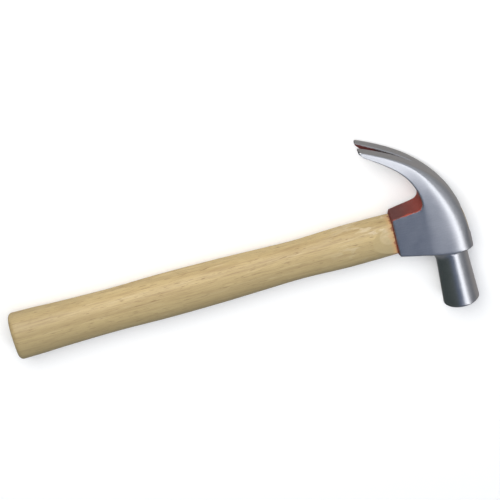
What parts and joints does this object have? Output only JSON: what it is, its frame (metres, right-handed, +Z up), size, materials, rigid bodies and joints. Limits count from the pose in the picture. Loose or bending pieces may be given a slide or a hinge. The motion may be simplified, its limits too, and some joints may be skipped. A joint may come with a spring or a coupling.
{
  "type": "claw hammer",
  "caption": "Claw hammer: forged steel head with a round striking face, curved split claws and a collar over the eye, wedged onto a straight wooden handle; lying on its side.",
  "frame": {"origin": "on the resting plane, under the middle of the bounding box of the hammer lying on its side", "axes": "+X along the handle towards the crown of the head, +Y along the head from the striking face to the claws, +Z up, square to the hammer's plane of symmetry"},
  "size_m": [0.33, 0.1386, 0.026],
  "materials": {
    "forged_steel": "satin ground steel, with red paint left on the collar's top, the slot's walls and the claws' underside",
    "handle_wood": "clear-varnished pale ash, grain along the handle",
    "wedge_wood": "bare hardwood, end grain at the crown",
    "wedge_steel": "dull plain steel"
  },
  "bodies": {
    "root": {"head": "forged_steel", "handle": "handle_wood", "wood_wedge": "wedge_wood", "steel_wedge_lower": "wedge_steel", "steel_wedge_upper": "wedge_steel"}
  },
  "joints": []
}
